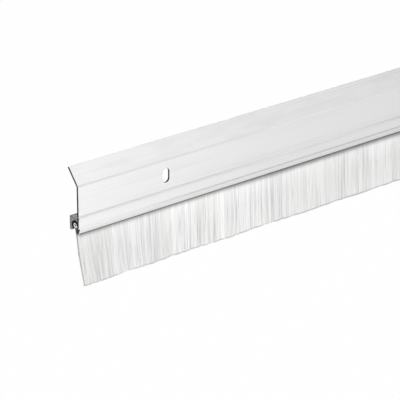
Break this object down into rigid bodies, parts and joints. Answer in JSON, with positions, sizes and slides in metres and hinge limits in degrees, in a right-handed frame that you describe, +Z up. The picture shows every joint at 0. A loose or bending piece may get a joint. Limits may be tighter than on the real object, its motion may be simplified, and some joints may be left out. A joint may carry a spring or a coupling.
{
  "type": "brush door sweep",
  "caption": "Long white metal carrier with a leaning flange and upright screw slots, holding a curtain of white bristles that closes the gap under a door.",
  "frame": {"origin": "at mid length on the door's face, half way up the flat back of the brush holder", "axes": "+X along the sweep, +Y into the door, +Z up; the face plate looks along -Y and the bristles point down"},
  "size_m": [0.9144, 0.0078, 0.0571],
  "materials": {
    "white_paint": "semi-gloss white paint on extruded aluminium",
    "strip_steel": "dull dark steel strip",
    "wire_steel": "dull drawn steel wire",
    "white_bristle": "fine white plastic filament"
  },
  "bodies": {
    "root": {"carrier": "white_paint", "strip_channel": "strip_steel", "core_wire": "wire_steel", "bristles": "white_bristle"}
  },
  "joints": []
}
